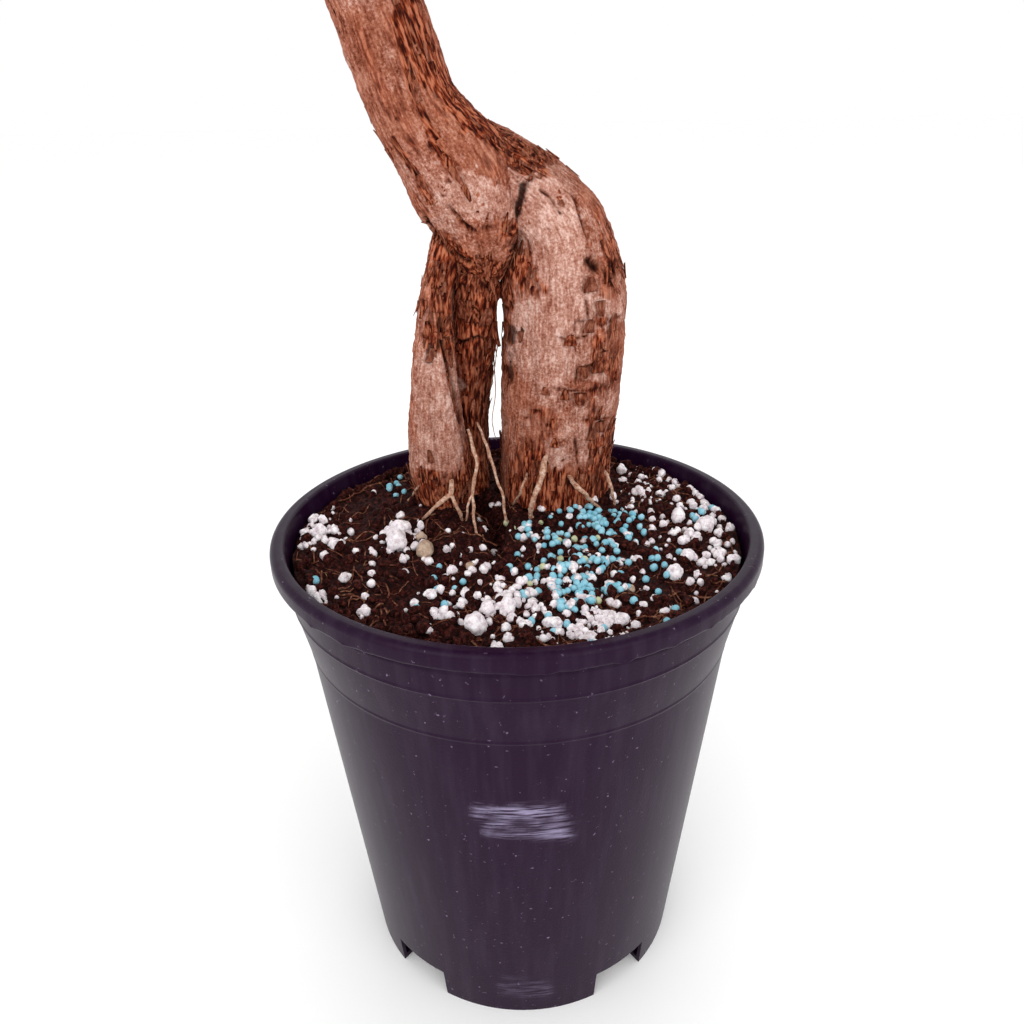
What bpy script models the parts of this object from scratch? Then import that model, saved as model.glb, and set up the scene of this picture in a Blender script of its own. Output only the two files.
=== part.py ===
# Potted Queensland bottle tree, trained as a small stump on three exposed root legs, in a nursery pot.
# The origin is the middle of the pot's flat underside. +Z is up and -Y is the side that faces the viewer.
# Lengths are metres. Sizes below are written in millimetres and turned to metres by MM.
import math

import bmesh
import bpy
import numpy as np
from mathutils import Matrix

MM = 0.001
GAP = 0.3 * MM               # clear space between pieces that touch

# pot: a turned thin shell, tapered, with a rolled rim, a collar, a shoulder and a notched foot
POT_HEIGHT = 170.0 * MM
RIM_RADIUS = 82.5 * MM
RIM_BAND = 6.0 * MM          # height of the rolled rim
LIP_RADIUS = 77.7 * MM       # inner edge of the rim
COLLAR_TOP_RADIUS = 78.4 * MM
COLLAR_LOW = 151.4 * MM      # height of the collar's lower edge
COLLAR_RADIUS = 77.1 * MM
SHOULDER_LOW = 133.6 * MM    # height where the shoulder meets the plain taper
SHOULDER_RADIUS = 73.3 * MM
FOOT_RADIUS = 59.5 * MM
WALL = 1.4 * MM
FLOOR = 2.0 * MM
POT_SIDES = 60

# drain notches through the foot, seen from above and counted from -Y towards +X
NOTCH_COUNT = 5
NOTCH_FRONT_MIDDLE = -2.0    # degrees, midway between the two front notches
NOTCH_FRONT_SPREAD = 76.0    # degrees between the two front notches
NOTCH_WIDTH = 22.6 * MM
NOTCH_HEIGHT = 12.4 * MM
NOTCH_INNER = 47.0 * MM      # how near the notch comes to the pot's axis

# soil fills the pot to a little below the rim
SOIL_TOP = 165.0 * MM
SOIL_FOOT_RADIUS = 45.0 * MM
SOIL_CHAMFER = 15.0 * MM     # height over which the soil narrows towards the floor
SOIL_SIDES = 40

# limbs: stations from one end to the other, in millimetres, each the middle of a cross-section
# and its half widths across the view and in depth
TRUNK = [
    (-7.9, 23.0, 246.5, 2.6, 2.6),
    (-9.2, 23.2, 251.5, 6.4, 6.2),
    (-10.6, 24.0, 260.5, 12.2, 11.4),
    (-12.0, 25.0, 269.5, 16.4, 14.4),
    (-16.4, 25.0, 279.8, 17.6, 15.4),
    (-23.2, 24.0, 290.0, 15.4, 14.8),
    (-29.8, 21.0, 301.5, 13.9, 13.8),
    (-37.6, 16.0, 326.3, 13.2, 13.1),
    (-45.5, 11.5, 352.0, 12.9, 12.6),
    (-50.5, 6.5, 384.0, 12.3, 12.0),
    (-50.0, 2.5, 414.0, 11.9, 11.7),
    (-46.5, 0.5, 440.0, 11.8, 11.8),
    (-45.0, 0.0, 452.0, 8.6, 8.6),
]
LEG_RIGHT = [
    (15.0, 32.0, 165.3, 19.8, 17.6),
    (15.7, 32.0, 186.2, 19.8, 17.4),
    (17.2, 31.0, 205.6, 20.4, 17.8),
    (18.2, 31.0, 229.0, 20.7, 18.2),
    (18.3, 30.3, 246.0, 19.9, 17.6),
    (16.6, 29.0, 261.0, 15.6, 15.6),
    (9.8, 28.0, 271.6, 12.3, 13.4),
    (-2.0, 27.0, 281.5, 9.5, 11.0),
    (-10.5, 26.0, 288.0, 7.5, 9.0),
]
LEG_LEFT_FRONT = [
    (-25.6, 27.0, 165.3, 9.0, 9.0),
    (-26.6, 26.5, 173.0, 10.6, 10.4),
    (-27.1, 25.8, 184.0, 10.9, 10.8),
    (-27.4, 24.5, 198.0, 9.6, 9.6),
    (-26.9, 22.2, 218.0, 7.6, 7.8),
    (-24.9, 21.2, 242.0, 5.4, 6.2),
    (-20.5, 23.5, 261.0, 4.4, 5.4),
]
LEG_LEFT_BACK = [
    (-16.5, 38.5, 165.3, 7.0, 8.0),
    (-16.9, 38.0, 182.0, 7.0, 8.2),
    (-16.6, 36.2, 202.0, 7.4, 8.8),
    (-14.2, 32.8, 222.0, 7.8, 9.2),
    (-12.8, 29.6, 240.0, 7.6, 8.6),
    (-11.6, 26.4, 252.5, 4.8, 5.4),
]
LIMB_SIDES = 18
THIN_LIMB_SIDES = 14
BOUGH_SIDES = 10

# masses of leaves: middle and half widths in millimetres, and a number that sets the uneven outline
MASSES = {
    "top": ((-34.0, 4.0, 652.0), (80.0, 76.0, 68.0), 3),
    "left": ((-122.0, -16.0, 554.0), (72.0, 74.0, 60.0), 7),
    "right": ((56.0, -8.0, 586.0), (76.0, 74.0, 62.0), 11),
    "front": ((-40.0, -100.0, 560.0), (74.0, 66.0, 56.0), 17),
    "back": ((-28.0, 104.0, 576.0), (78.0, 66.0, 60.0), 23),
}
MASS_GAP = 1.5 * MM
MASS_UNEVEN = 0.07
LEADER_PLACE = (-43.0 * MM, 3.0 * MM)   # where the middle bough runs up between the side masses
LEADER_CLEAR = 15.5 * MM                # how far the side masses keep from it

# boughs: height on the trunk where each starts, half width there and where it ends, in millimetres
BOUGHS = {
    "top": (446.0, 7.8, 4.0),
    "left": (430.0, 6.0, 3.4),
    "right": (437.0, 6.4, 3.6),
    "front": (419.0, 5.8, 3.2),
    "back": (424.0, 6.2, 3.4),
}


def clear_scene():
    for item in list(bpy.data.objects):
        bpy.data.objects.remove(item, do_unlink=True)


def material(name, colour, roughness):
    made = bpy.data.materials.new(name)
    made.use_nodes = True
    shader = made.node_tree.nodes["Principled BSDF"]
    shader.inputs["Base Color"].default_value = (*colour, 1.0)
    shader.inputs["Roughness"].default_value = roughness
    shader.inputs["Metallic"].default_value = 0.0
    made.diffuse_color = (*colour, 1.0)
    return made


def add_object(name, bm, finish=None):
    bmesh.ops.recalc_face_normals(bm, faces=bm.faces)
    mesh = bpy.data.meshes.new(name)
    bm.to_mesh(mesh)
    bm.free()
    made = bpy.data.objects.new(name, mesh)
    bpy.context.scene.collection.objects.link(made)
    if finish is not None:
        mesh.materials.append(finish)
        mesh.shade_smooth()
        mesh.set_sharp_from_angle(angle=math.radians(35.0))
    return made


def hide_cutter(cutter):
    cutter.hide_render = True
    cutter.display_type = "WIRE"
    return cutter


def cut(piece, cutter):
    """Take the cutter's space out of the piece."""
    step = piece.modifiers.new("cut by " + cutter.name, "BOOLEAN")
    step.operation = "DIFFERENCE"
    step.solver = "EXACT"
    step.object = cutter


def skin_rings(rings):
    """Join a row of equal rings into one closed skin, with a flat cap on each end."""
    bm = bmesh.new()
    rows = [[bm.verts.new(point) for point in ring] for ring in rings]
    sides = len(rows[0])
    for low, high in zip(rows[:-1], rows[1:]):
        for i in range(sides):
            j = (i + 1) % sides
            bm.faces.new((low[i], low[j], high[j], high[i]))
    bm.faces.new(rows[0][::-1])
    bm.faces.new(rows[-1])
    return bm


def turned(profile, sides):
    """Turn a profile of (radius, height) about Z. It starts and ends near the axis."""
    angles = np.linspace(0.0, 2.0 * math.pi, sides, endpoint=False)
    return skin_rings([
        [(radius * math.cos(a), radius * math.sin(a), height) for a in angles]
        for radius, height in profile
    ])


def smooth_stations(stations, steps):
    """Carry a Catmull-Rom curve through the stations, so place and half widths change together."""
    known = np.array(stations) * MM
    ends = np.vstack([2 * known[0] - known[1], known, 2 * known[-1] - known[-2]])
    rows = []
    for i in range(len(known) - 1):
        a, b, c, d = ends[i:i + 4]
        for t in np.linspace(0.0, 1.0, steps, endpoint=False):
            rows.append(0.5 * (2 * b + (c - a) * t + (2 * a - 5 * b + 4 * c - d) * t ** 2
                               + (3 * b - a - 3 * c + d) * t ** 3))
    rows.append(known[-1])
    return np.array(rows)


def limb_rings(rows, sides, swell, level_start=False):
    """Stand an uneven oval square to the path at every row, turned as little as possible between rows.
    A swollen skin is as much longer at both ends as it is wider all round."""
    middles = rows[:, :3]
    along = np.gradient(middles, axis=0)
    along /= np.linalg.norm(along, axis=1)[:, None]
    if level_start:
        along[0] = (0.0, 0.0, 1.0)
    angles = np.linspace(0.0, 2.0 * math.pi, sides, endpoint=False)
    across = np.array((1.0, 0.0, 0.0))
    rings = []
    for k, (middle, way) in enumerate(zip(middles, along)):
        across = across - across.dot(way) * way
        across /= np.linalg.norm(across)
        depth = np.cross(way, across)
        uneven = 1.0 + 0.025 * np.sin(2 * angles + 0.31 * k) + 0.02 * np.sin(3 * angles - 0.23 * k)
        wide = (rows[k, 3] + swell) * uneven * np.cos(angles)
        deep = (rows[k, 4] + swell) * uneven * np.sin(angles)
        rings.append(middle + wide[:, None] * across + deep[:, None] * depth)
    if swell > 0.0:
        rings = [rings[0] - swell * along[0], *rings, rings[-1] + swell * along[-1]]
    return rings


def grow_limb(name, stations, finish, sides=LIMB_SIDES, steps=3, level_start=False):
    rows = smooth_stations(stations, steps)
    return add_object(name, skin_rings(limb_rings(rows, sides, 0.0, level_start)), finish)


def limb_cutter(name, stations, sides=LIMB_SIDES, steps=3, level_start=False):
    """The limb's own shape, a gap wider all round and a gap longer at both ends."""
    rows = smooth_stations(stations, steps)
    return hide_cutter(add_object("cutter " + name, skin_rings(limb_rings(rows, sides, GAP, level_start))))


def notch_angles():
    """The two front notches are set by their spread, and the others share the rest evenly."""
    first = NOTCH_FRONT_MIDDLE + NOTCH_FRONT_SPREAD / 2.0
    rest = (360.0 - NOTCH_FRONT_SPREAD) / (NOTCH_COUNT - 1)
    return [math.radians(first + i * rest) for i in range(NOTCH_COUNT)]


def outer_radius(height):
    """Radius of the pot's outer face below the rim, read along its tapered profile."""
    heights = (0.0, SHOULDER_LOW, COLLAR_LOW, POT_HEIGHT - RIM_BAND)
    radii = (FOOT_RADIUS, SHOULDER_RADIUS, COLLAR_RADIUS, COLLAR_TOP_RADIUS)
    return float(np.interp(height, heights, radii))


def make_pot():
    plastic = material("moulded_pot_plastic", (0.045, 0.024, 0.052), 0.42)
    under_rim = POT_HEIGHT - RIM_BAND
    axis = 0.4 * MM          # the middle of both floor faces is a tiny flat
    outside = [
        (axis, 0.0),
        (NOTCH_INNER, 0.0),
        (FOOT_RADIUS, 0.0),
        (outer_radius(NOTCH_HEIGHT), NOTCH_HEIGHT),
        (SHOULDER_RADIUS, SHOULDER_LOW),
        (COLLAR_RADIUS, COLLAR_LOW),
        (COLLAR_TOP_RADIUS, under_rim),
    ]
    rim = [
        (RIM_RADIUS - 0.6 * MM, under_rim),
        (RIM_RADIUS, under_rim + 1.2 * MM),
        (RIM_RADIUS, POT_HEIGHT - 1.6 * MM),
        (RIM_RADIUS - 1.6 * MM, POT_HEIGHT),
        (LIP_RADIUS + 0.8 * MM, POT_HEIGHT),
        (LIP_RADIUS, POT_HEIGHT - 0.9 * MM),
    ]
    inside = [(outer_radius(h) - WALL, h) for h in (under_rim, COLLAR_LOW, SHOULDER_LOW, FLOOR)]
    pot = add_object("pot", turned(outside + rim + inside + [(axis, FLOOR)], POT_SIDES), plastic)

    bm = bmesh.new()
    reach = RIM_RADIUS - NOTCH_INNER
    tall = 2.0 * NOTCH_HEIGHT
    for angle in notch_angles():
        place = Matrix.Rotation(angle, 4, "Z") @ Matrix.Translation((0.0, -NOTCH_INNER - reach / 2.0, 0.0))
        size = Matrix.Diagonal((NOTCH_WIDTH, reach, tall, 1.0))
        bmesh.ops.create_cube(bm, size=1.0, matrix=place @ size)
    cut(pot, hide_cutter(add_object("cutter drain notches", bm)))
    return pot


def make_soil():
    peat = material("peat_and_coir", (0.040, 0.011, 0.008), 0.95)
    axis = 0.4 * MM

    def inside_radius(height):
        return outer_radius(height) - WALL - GAP

    low = FLOOR + GAP
    profile = [(axis, low), (SOIL_FOOT_RADIUS, low)]
    profile += [(inside_radius(h), h) for h in (low + SOIL_CHAMFER, SHOULDER_LOW, COLLAR_LOW, SOIL_TOP)]
    profile.append((axis, SOIL_TOP))
    return add_object("soil", turned(profile, SOIL_SIDES), peat)


def make_trunk_and_legs():
    bark = material("fibrous_bark", (0.33, 0.13, 0.08), 0.85)
    trunk = grow_limb("trunk", TRUNK, bark)
    right = grow_limb("root_leg_right", LEG_RIGHT, bark, level_start=True)
    front = grow_limb("root_leg_left_front", LEG_LEFT_FRONT, bark, THIN_LIMB_SIDES, level_start=True)
    back = grow_limb("root_leg_left_back", LEG_LEFT_BACK, bark, THIN_LIMB_SIDES, level_start=True)

    trunk_cutter = limb_cutter("trunk", TRUNK)
    for leg in (right, front, back):
        cut(leg, trunk_cutter)
    front_cutter = limb_cutter("left front leg", LEG_LEFT_FRONT, THIN_LIMB_SIDES, level_start=True)
    right_cutter = limb_cutter("right leg", LEG_RIGHT, level_start=True)
    cut(back, front_cutter)
    cut(back, right_cutter)
    cut(front, right_cutter)
    return trunk_cutter, bark


def mass_directions():
    bm = bmesh.new()
    bmesh.ops.create_icosphere(bm, subdivisions=3, radius=1.0)
    for vert in bm.verts:
        vert.co.normalize()
    return bm


def mass_radius(way, widths, number):
    """How far an uneven mass reaches along a direction: an ellipsoid with a few broad swellings."""
    x, y, z = way
    ellipsoid = 1.0 / math.sqrt((x / widths[0]) ** 2 + (y / widths[1]) ** 2 + (z / widths[2]) ** 2)
    swellings = (math.sin(3.1 * x + 2.3 * y + number) + math.sin(4.3 * y - 2.9 * z + 1.7 * number)
                 + math.sin(5.1 * z + 3.7 * x - 0.9 * number) + 0.7 * math.sin(9.0 * x - 8.0 * y + 2.1 * number))
    return ellipsoid * (1.0 + MASS_UNEVEN * swellings) * MM


def mass_limits(name):
    """Planes that hold a mass back, each a direction and a distance from the mass's middle."""
    centre = np.array(MASSES[name][0]) * MM
    limits = []
    for other, (place, _, _) in MASSES.items():
        if other != name:
            apart = np.array(place) * MM - centre
            distance = np.linalg.norm(apart)
            limits.append((apart / distance, (distance - MASS_GAP) / 2.0))
    if name != "top":
        apart = np.array((*LEADER_PLACE, centre[2])) - centre
        distance = np.linalg.norm(apart)
        limits.append((apart / distance, distance - LEADER_CLEAR))
    return limits


def make_mass(name, swell=0.0, finish=None):
    """One closed uneven solid, held back from its neighbours and from the middle bough."""
    middle, widths, number = MASSES[name]
    bm = mass_directions()
    for vert in bm.verts:
        way = np.array(vert.co)
        point = way * (mass_radius(way, widths, number) + swell)
        for toward, limit in mass_limits(name):
            over = point.dot(toward) - limit - swell
            if over > 0.0:
                point = point - over * toward
        vert.co = np.array(middle) * MM + point
    return add_object(("leaves_" if finish else "cutter mass ") + name, bm, finish)


def trunk_middle(height):
    rows = smooth_stations(TRUNK, 8)
    return np.array([np.interp(height, rows[:, 2], rows[:, axis]) for axis in range(3)])


def bough_stations(name):
    """A limb that leaves the trunk outwards and turns up into the middle of its mass."""
    height, start_half, end_half = BOUGHS[name]
    start = trunk_middle(height * MM) / MM
    goal = np.array(MASSES[name][0])
    away = goal - start
    side = np.array((away[0], away[1], 0.0))
    reach = np.linalg.norm(side)
    if name == "top":
        start_way = np.array((-26.0, 6.0, 150.0))
        end_way = np.array((40.0, 10.0, 150.0))
    else:
        start_way = side / reach * 105.0 + np.array((0.0, 0.0, 60.0))
        end_way = side / reach * 30.0 + np.array((0.0, 0.0, 150.0))
    rows = []
    for t in np.linspace(0.0, 1.0, 6):
        place = ((2 * t ** 3 - 3 * t ** 2 + 1) * start + (t ** 3 - 2 * t ** 2 + t) * start_way
                 + (3 * t ** 2 - 2 * t ** 3) * goal + (t ** 3 - t ** 2) * end_way)
        half = start_half + (end_half - start_half) * t
        rows.append((*place, half, half))
    return rows


def make_crown(trunk_cutter, bark):
    foliage = material("narrow_green_leaves", (0.060, 0.150, 0.035), 0.45)
    earlier = []
    for name in MASSES:
        make_mass(name, finish=foliage)
        inside = hide_cutter(make_mass(name, swell=GAP))
        stations = bough_stations(name)
        bough = grow_limb("bough_" + name, stations, bark, BOUGH_SIDES, steps=2)
        cut(bough, trunk_cutter)
        cut(bough, inside)
        for cutter in earlier:
            cut(bough, cutter)
        earlier.append(limb_cutter("bough " + name, stations, BOUGH_SIDES, steps=2))


def main():
    clear_scene()
    make_pot()
    make_soil()
    trunk_cutter, bark = make_trunk_and_legs()
    make_crown(trunk_cutter, bark)


main()
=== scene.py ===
# Looks of a potted Queensland bottle tree: a small stump on three bare root legs in a purple nursery pot.
# The frame brings the measured solids, and every surface here is laid over one of them.
# Tables are in millimetres, or in pixels of the photograph where they say so. Points are in metres.
import math

import bpy
import numpy as np
from mathutils import Matrix


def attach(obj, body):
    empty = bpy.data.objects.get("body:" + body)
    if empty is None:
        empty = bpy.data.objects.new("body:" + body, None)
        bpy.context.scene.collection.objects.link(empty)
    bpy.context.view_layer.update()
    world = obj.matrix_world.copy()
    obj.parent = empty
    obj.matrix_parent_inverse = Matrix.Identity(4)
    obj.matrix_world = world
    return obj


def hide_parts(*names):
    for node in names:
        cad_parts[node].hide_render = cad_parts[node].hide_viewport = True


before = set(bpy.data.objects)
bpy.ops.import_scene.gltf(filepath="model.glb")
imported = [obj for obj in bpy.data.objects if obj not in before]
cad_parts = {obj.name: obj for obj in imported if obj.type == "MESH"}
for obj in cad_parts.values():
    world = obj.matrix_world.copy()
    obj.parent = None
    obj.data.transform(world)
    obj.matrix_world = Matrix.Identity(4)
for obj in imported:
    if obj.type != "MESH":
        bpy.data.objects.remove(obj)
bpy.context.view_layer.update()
mm = 0.001
upward = np.array((0.0, 0.0, 1.0))
level = np.array((1.0, 1.0, 0.0))

# the camera that fits the photograph: eye and lens in millimetres, angles in degrees
camera = {"eye": (0.0, -272.274, 300.169), "turn": 0.27786, "pitch": 25.15286, "roll": -1.25345,
          "lens": 30.9375, "sensor": 36.0, "pixels": 1024}


def cameraWays():
    # ahead from turn and pitch, right square to it and level, then right and up rolled about ahead
    turn, pitch, roll = (math.radians(camera[key]) for key in ("turn", "pitch", "roll"))
    ahead = np.array((-math.sin(turn) * math.cos(pitch), math.cos(turn) * math.cos(pitch), -math.sin(pitch)))
    unrolled = np.array((math.cos(turn), math.sin(turn), 0.0))
    right = unrolled * math.cos(roll) + np.cross(unrolled, ahead) * math.sin(roll)
    return right, np.cross(right, ahead), ahead


eyePoint = np.array(camera["eye"]) * mm
eyeRight, eyeUp, eyeAhead = cameraWays()
focalPixels = camera["lens"] / camera["sensor"] * camera["pixels"]
middlePixel = camera["pixels"] / 2


def toPixel(points):
    # pixel = middle + focal length * sideways / depth, for the camera above
    away = points - eyePoint
    depth = np.maximum(away @ eyeAhead, 0.02)[..., None]
    return middlePixel + focalPixels * np.stack([away @ eyeRight, -(away @ eyeUp)], axis=-1) / depth


def fromPixel(u, v, axis, value):
    # the point where the pixel's line of sight meets the plane on which that axis has that value
    ray = eyeAhead + (eyeRight * (u - middlePixel) - eyeUp * (v - middlePixel)) / focalPixels
    return eyePoint + ray * (value - eyePoint[axis]) / ray[axis]


def pathDistance(pixels, path):
    # least distance, in pixels, from each pixel to a line through the path's points
    best = np.full(pixels.shape[:-1], 1e9)
    corners = np.array(path, float)
    for start, end in zip(corners[:-1], corners[1:]):
        run = end - start
        share = np.clip(((pixels - start) @ run) / max(run @ run, 1e-9), 0.0, 1.0)
        best = np.minimum(best, np.linalg.norm(pixels - start - share[..., None] * run, axis=-1))
    return best


def smoothStep(x):
    # 3 x^2 - 2 x^3 from 0 to 1, and level outside that
    x = np.clip(x, 0.0, 1.0)
    return x * x * (3.0 - 2.0 * x)


def bell(x):
    # one at the middle, falling off on both sides as e to the power of -x^2
    return np.exp(-x ** 2)


def unit(vectors):
    # each vector divided by its length
    return vectors / (np.linalg.norm(vectors, axis=-1, keepdims=True) + 1e-12)


def latticeNoise(points, size, seed):
    # random values on a grid of the given size, blended smoothly between its corners, from -1 to 1
    scaled = points / size
    cell = np.floor(scaled).astype(np.int64)
    blend = smoothStep(scaled - cell)
    total = np.zeros(points.shape[:-1])
    for corner in range(8):
        step = np.array((corner & 1, corner >> 1 & 1, corner >> 2 & 1))
        x, y, z = np.moveaxis(cell + step, -1, 0)
        mixed = (x * 73856093) ^ (y * 19349663) ^ (z * 83492791) ^ (seed * 2654435761)
        mixed = (mixed ^ (mixed >> 13)) * 1274126177 & 0x7FFFFFFF
        value = (mixed ^ (mixed >> 16)) % 65536 / 32767.5 - 1.0
        total += value * np.prod(np.where(step == 1, blend, 1.0 - blend), axis=-1)
    return total


def layeredNoise(points, size, seed, layers=4):
    # each layer is half as wide and a little over half as strong as the one before
    return sum(latticeNoise(points, size / 2 ** k, seed + k) * 0.55 ** k for k in range(layers))


def linear(hexColour):
    # sRGB c to linear light: c / 12.92 in the darks, else ((c + 0.055) / 1.055) ^ 2.4, with alpha 1
    parts = [int(hexColour[i:i + 2], 16) / 255 for i in (1, 3, 5)]
    return [c / 12.92 if c <= 0.04045 else ((c + 0.055) / 1.055) ** 2.4 for c in parts] + [1.0]


def perMetre(sizeMm):
    # a texture node's scale: how many of that size go into a metre
    return 1.0 / (sizeMm * mm)


def linkNode(tree, node, links):
    # each socket takes the output given, or the first output in use of a node that is given
    for key, source in links.items():
        if isinstance(source, bpy.types.Node):
            source = next(socket for socket in source.outputs if socket.enabled)
        tree.links.new(source, node.inputs[key])


def addNode(tree, kind, settings=None, links=None):
    # settings go by the node's own name or by socket, and links by socket
    made = tree.nodes.new("ShaderNode" + kind)
    for key, value in (settings or {}).items():
        if key == "stops":
            ramp = made.color_ramp.elements
            while len(ramp) < len(value):
                ramp.new(0.5)
            for stop, (place, colour) in zip(ramp, value):
                stop.position = place
                stop.color = colour
        elif isinstance(key, str) and hasattr(made, key):
            setattr(made, key, value)
        else:
            made.inputs[key].default_value = value
    linkNode(tree, made, links or {})
    return made


def newMaterial(name, hexColour, roughness, specular=0.5, ior=1.5):
    # a non-metal shader, with every value that is the same all over set on its own sockets
    made = bpy.data.materials.new(name)
    made.use_nodes = True
    shader = made.node_tree.nodes["Principled BSDF"]
    settings = {"Base Color": linear(hexColour), "Roughness": roughness, "Metallic": 0.0, "IOR": ior,
                "Specular IOR Level": specular}
    for key, value in settings.items():
        shader.inputs[key].default_value = value
    return made, made.node_tree, shader


def putMesh(name, points, faces, materials, replaces=(), attributes=None, faceMaterial=None):
    # points are rows of x, y, z and faces are equal rows of point numbers
    mesh = bpy.data.meshes.new(name)
    flat = np.asarray(points, np.float32).reshape(-1, 3)
    corners = faces.shape[1]
    mesh.vertices.add(len(flat))
    mesh.vertices.foreach_set("co", flat.ravel())
    mesh.loops.add(faces.size)
    mesh.loops.foreach_set("vertex_index", faces.ravel().astype(np.int32))
    mesh.polygons.add(len(faces))
    mesh.polygons.foreach_set("loop_start", np.arange(len(faces), dtype=np.int32) * corners)
    for material in materials:
        mesh.materials.append(material)
    if faceMaterial is not None:
        mesh.polygons.foreach_set("material_index", faceMaterial.astype(np.int32))
    mesh.update(calc_edges=True)
    mesh.shade_smooth()
    setAttributes(mesh, attributes)
    made = bpy.data.objects.new(name, mesh)
    bpy.context.scene.collection.objects.link(made)
    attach(made, "root")
    if replaces:
        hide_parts(*replaces)
    return made


def setAttributes(mesh, attributes):
    # rows of three numbers are stored as vectors and single numbers as floats, one for each point
    for key, values in (attributes or {}).items():
        kind = "FLOAT_VECTOR" if values.ndim > 1 and values.shape[-1] == 3 else "FLOAT"
        layer = mesh.attributes.new(key, kind, "POINT")
        field = "vector" if kind == "FLOAT_VECTOR" else "value"
        layer.data.foreach_set(field, values.astype(np.float32).ravel())


def gridFaces(rows, sides):
    # triangles of a tube of rings, with a fan over each end, pointing outwards
    i, j = np.meshgrid(np.arange(rows - 1), np.arange(sides), indexing="ij")
    a, b = i * sides + j, i * sides + (j + 1) % sides
    quads = np.stack([a, b, b + sides, a, b + sides, a + sides], axis=-1).reshape(-1, 3)
    fan = np.arange(1, sides - 1)
    low = np.stack([np.zeros_like(fan), fan + 1, fan], axis=-1)
    high = np.stack([np.zeros_like(fan), fan, fan + 1], axis=-1) + (rows - 1) * sides
    return np.vstack([quads, low, high])


def repeatFaces(faces, copies, points):
    # the faces of one shape again for each copy, with the point numbers moved on by a shape's points
    return (faces[None] + np.arange(copies)[:, None, None] * points).reshape(-1, faces.shape[1])


def roundAngles(sides):
    # even angles once round a ring
    return np.linspace(0.0, 2.0 * math.pi, sides, endpoint=False)


def turnProfile(profile, sides):
    # rows of radius and height carried round the upright axis: radius * cos a, radius * sin a, height
    angles = roundAngles(sides)
    heights = np.broadcast_to(profile[:, 1:], (len(profile), sides))
    return np.stack([profile[:, :1] * np.cos(angles), profile[:, :1] * np.sin(angles), heights], axis=-1) * mm


def squareWays(along, guide):
    # the cross product of along and upward, or x where the guide is steep, and the way square to both
    lean = np.where(np.abs(guide[..., 2:]) > 0.8, np.array((1.0, 0.0, 0.0)), upward)
    across = unit(np.cross(along, np.broadcast_to(lean, along.shape)))
    return across, np.cross(along, across)


def manyTubes(paths, halves, sides):
    # one thin tube along each path: middle + half width * (cos a * across + sin a * over)
    along = unit(np.gradient(paths, axis=1))
    across, over = squareWays(along, along[:, :1])
    angles = roundAngles(sides)[:, None]
    ring = np.cos(angles) * across[:, :, None] + np.sin(angles) * over[:, :, None]
    points = paths[:, :, None] + ring * halves[:, :, None, None]
    steps = paths.shape[1]
    return points.reshape(-1, 3), repeatFaces(gridFaces(steps, sides), len(paths), steps * sides)


# moulded polypropylene, dusty: dark purple-brown with a soft sheen, pale specks and faint upright streaks
potLook = {"colour": "#1e0621", "dust": "#9a86a3", "scuff": "#9a8fae", "roughness": 0.34, "specular": 0.1,
           "speckMm": 1.6, "streakMm": 3.846, "rubMm": 0.7143, "grainMm": 0.6667}


def potMaterial():
    # colour = purple + dust at specks and streaks + scuff where its mask and the fine rubs both are
    made, tree, shader = newMaterial("moulded_polypropylene_dusty", potLook["colour"], potLook["roughness"],
                                     potLook["specular"])
    place = addNode(tree, "TexCoord").outputs["Object"]
    specks = addNode(tree, "TexNoise", {"Scale": perMetre(potLook["speckMm"]), "Detail": 3},
                     {"Vector": place})
    dots = addNode(tree, "MapRange", {"From Min": 0.68, "From Max": 0.78, "To Max": 0.55}, {"Value": specks})
    tall = addNode(tree, "Mapping", {"Scale": (1, 1, 0.05)}, {"Vector": place})
    streaks = addNode(tree, "TexNoise", {"Scale": perMetre(potLook["streakMm"]), "Detail": 5},
                      {"Vector": tall})
    veil = addNode(tree, "MapRange", {"From Min": 0.45, "From Max": 0.8, "To Max": 0.035}, {"Value": streaks})
    dust = addNode(tree, "Math", {"operation": "MAXIMUM"}, {0: dots, 1: veil})
    base = addNode(tree, "Mix", {"data_type": "RGBA", 6: linear(potLook["colour"]),
                                 7: linear(potLook["dust"])}, {0: dust})
    flat = addNode(tree, "Mapping", {"Scale": (0.08, 0.08, 1)}, {"Vector": place})
    rubs = addNode(tree, "TexNoise", {"Scale": perMetre(potLook["rubMm"]), "Detail": 4}, {"Vector": flat})
    rubbed = addNode(tree, "MapRange", {"From Min": 0.4, "From Max": 0.62}, {"Value": rubs})
    scuff = addNode(tree, "Attribute", {"attribute_name": "scuff"}).outputs["Fac"]
    worn = addNode(tree, "Math", {"operation": "MULTIPLY"}, {0: rubbed, 1: scuff})
    final = addNode(tree, "Mix", {"data_type": "RGBA", 7: linear(potLook["scuff"])}, {0: worn, 6: base})
    grain = addNode(tree, "TexNoise", {"Scale": perMetre(potLook["grainMm"]), "Detail": 2}, {"Vector": place})
    bump = addNode(tree, "Bump", {"Strength": 0.25, "Distance": 0.2 * mm}, {"Height": grain})
    linkNode(tree, shader, {"Base Color": final, "Normal": bump})
    return made


# living bark grown by a stem: pinkish grey stippled skin over rust coloured fibres, all matt
# each layer's colours run from deep to light, and furrow is the dark at the bottom of a crack, also laid as
# painted shade in the crease between the legs and in shaded hollows
barkLook = {
    "skin": ("#5b2413", "#965640", "#bf8873"),
    "rust": ("#2e0601", "#7c3219", "#b56c4e"),
    "silver": ("#7d4333", "#b17e6d", "#dcb8ac"),
    "furrow": "#160301", "roughness": 0.88, "specular": 0.12,
    "fibreMm": 0.9, "stippleMm": 0.8, "blotchMm": 9.0,
}


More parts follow.
